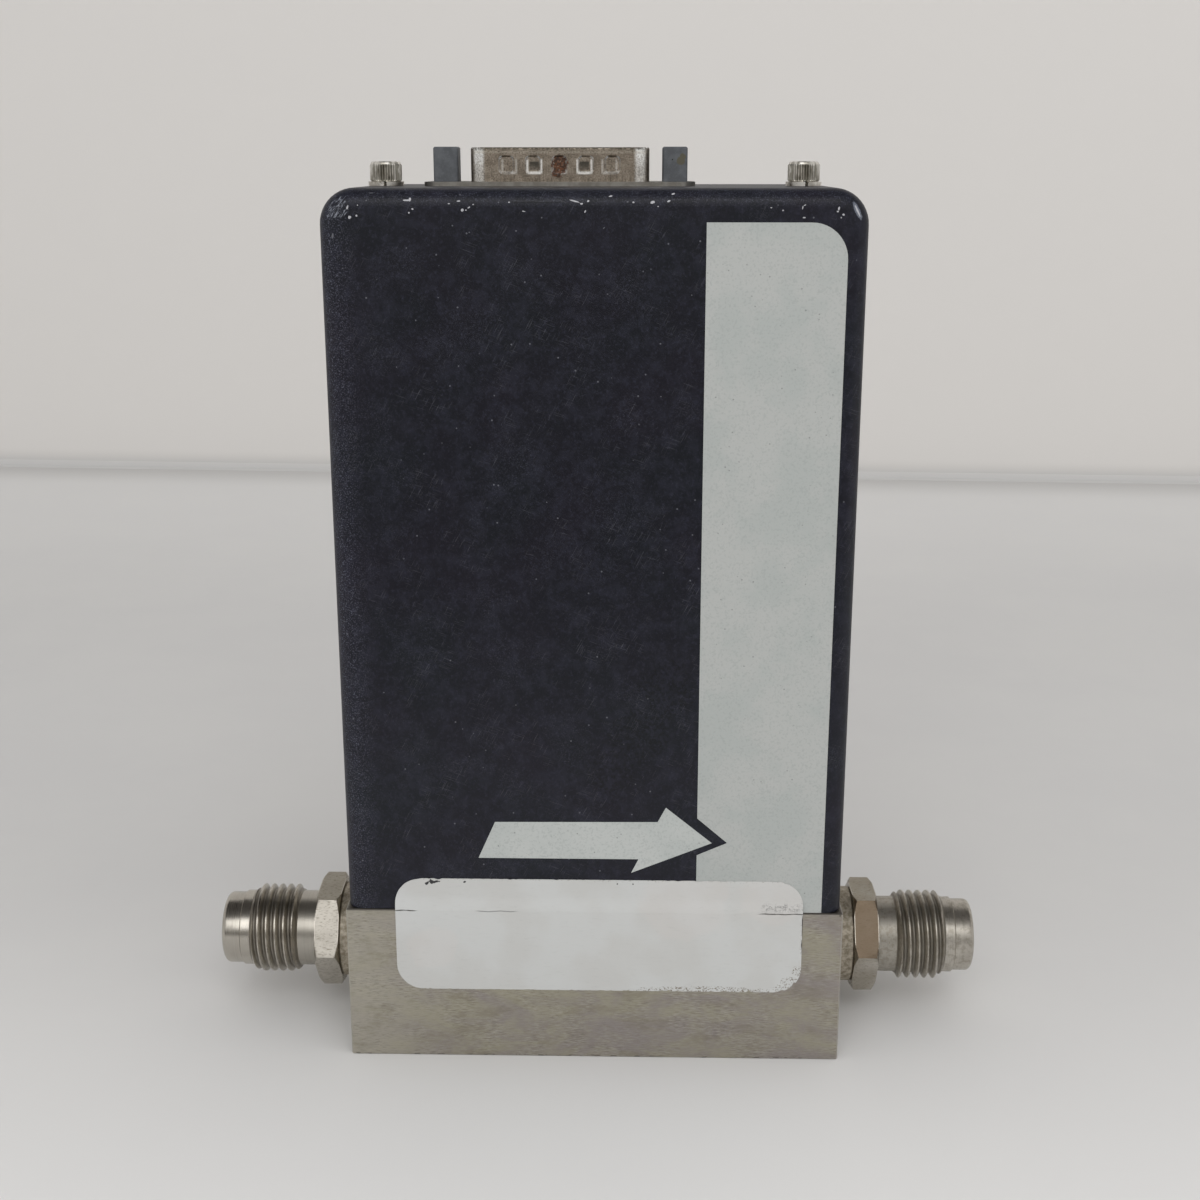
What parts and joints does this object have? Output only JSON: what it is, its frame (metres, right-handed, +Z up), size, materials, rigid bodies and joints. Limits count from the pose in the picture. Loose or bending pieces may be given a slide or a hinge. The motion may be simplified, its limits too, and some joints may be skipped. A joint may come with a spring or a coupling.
{
  "type": "mass flow controller",
  "caption": "Thermal gas mass flow controller: stainless flow block with face-seal end fittings under a tall painted sheet cover with a multi-pin D connector on top.",
  "frame": {"origin": "centre of the flow block's underside", "axes": "+X along the gas flow, from inlet to outlet; +Y from the printed front to the back; +Z up to the connector"},
  "size_m": [0.123, 0.0383, 0.1378],
  "materials": {
    "board_green": "solder mask over glass cloth",
    "bobbin_plastic": "moulded",
    "bracket_alloy": "satin",
    "capacitor_sleeve": "shrunk sleeve",
    "chip_black": "moulded",
    "cover_paint": "blue-black stoved paint with a fine texture, a silver printed panel and arrow, chipped at the top edge",
    "enamelled_copper": "enamelled copper wire",
    "gold_pins": "gold flash",
    "header_black": "moulded",
    "label_paper": "white coated paper, cut along the joint, frayed at the lower edge",
    "lead_insulation": "extruded insulation",
    "magnetic_steel": "machined",
    "phosphated_steel": "dark phosphate, matt",
    "plated_shell": "tin plated, tarnished, rust in one dimple",
    "ribbon_film": "amber film",
    "seal_rubber": "matt black",
    "sensor_can_alloy": "drawn, satin",
    "sintered_steel": "sintered, dull",
    "spring_steel": "drawn wire",
    "stainless_block": "brushed, light scratches",
    "stainless_inner": "machined",
    "stainless_turned": "turned, bright",
    "steel_cap_screws": "stainless, knurled head, slightly stained",
    "steel_screws": "plated",
    "trimmer_blue": "moulded",
    "trimmer_brass": "slotted, turned",
    "washer_steel": "stainless",
    "yoke_steel": "zinc plated"
  },
  "bodies": {
    "housing": {"base_block": "stainless_block", "board_bracket": "bracket_alloy", "board_capacitors": "capacitor_sleeve", "board_chips": "chip_black", "board_regulator": "chip_black", "board_resistors": "chip_black", "board_screws": "steel_screws", "board_spacers": "bracket_alloy", "coil_bobbin": "bobbin_plastic", "coil_leads": "lead_insulation", "coil_nut": "yoke_steel", "coil_washer": "yoke_steel", "coil_winding": "enamelled_copper", "coil_yoke": "yoke_steel", "connector_back_shell": "plated_shell", "connector_board": "board_green", "connector_insulator": "header_black", "connector_pins": "gold_pins", "connector_shell": "plated_shell", "cover": "cover_paint", "cover_posts": "bracket_alloy", "cover_screws": "steel_cap_screws", "inlet_fitting": "stainless_turned", "inlet_frit": "sintered_steel", "jack_nuts": "steel_screws", "jack_posts": "phosphated_steel", "laminar_element": "stainless_inner", "lead_headers": "header_black", "link_header": "header_black", "lock_washers": "washer_steel", "main_board": "board_green", "outlet_fitting": "stainless_turned", "plunger_spring": "spring_steel", "pole_piece": "magnetic_steel", "port_seals": "seal_rubber", "seal_label": "label_paper", "sensor_base": "stainless_inner", "sensor_can": "sensor_can_alloy", "sensor_ribbon": "ribbon_film", "sensor_screws": "steel_screws", "sensor_seals": "seal_rubber", "sensor_tube": "stainless_inner", "sensor_windings": "enamelled_copper", "valve_body": "stainless_inner", "valve_orifice": "stainless_inner", "valve_screws": "steel_screws", "valve_seal": "seal_rubber", "zero_trimmer": "trimmer_blue"},
    "plunger": {"plunger_pad": "seal_rubber", "valve_plunger": "magnetic_steel"},
    "zero_adjuster": {"zero_screw": "trimmer_brass"}
  },
  "joints": [
    {"name": "plunger_lift", "type": "slide", "parent": "housing", "child": "plunger", "axis": [0, 0, 1], "range_m": [0, 0.0003], "stiffness_N_per_m": 900, "springref_m": -0.0004, "deforming": ["plunger_spring"]},
    {"name": "zero_turn", "type": "hinge", "parent": "housing", "child": "zero_adjuster", "pos_m": [-0.034, 0.0098, 0.1053], "axis": [-1, 0, 0], "continuous": true}
  ]
}
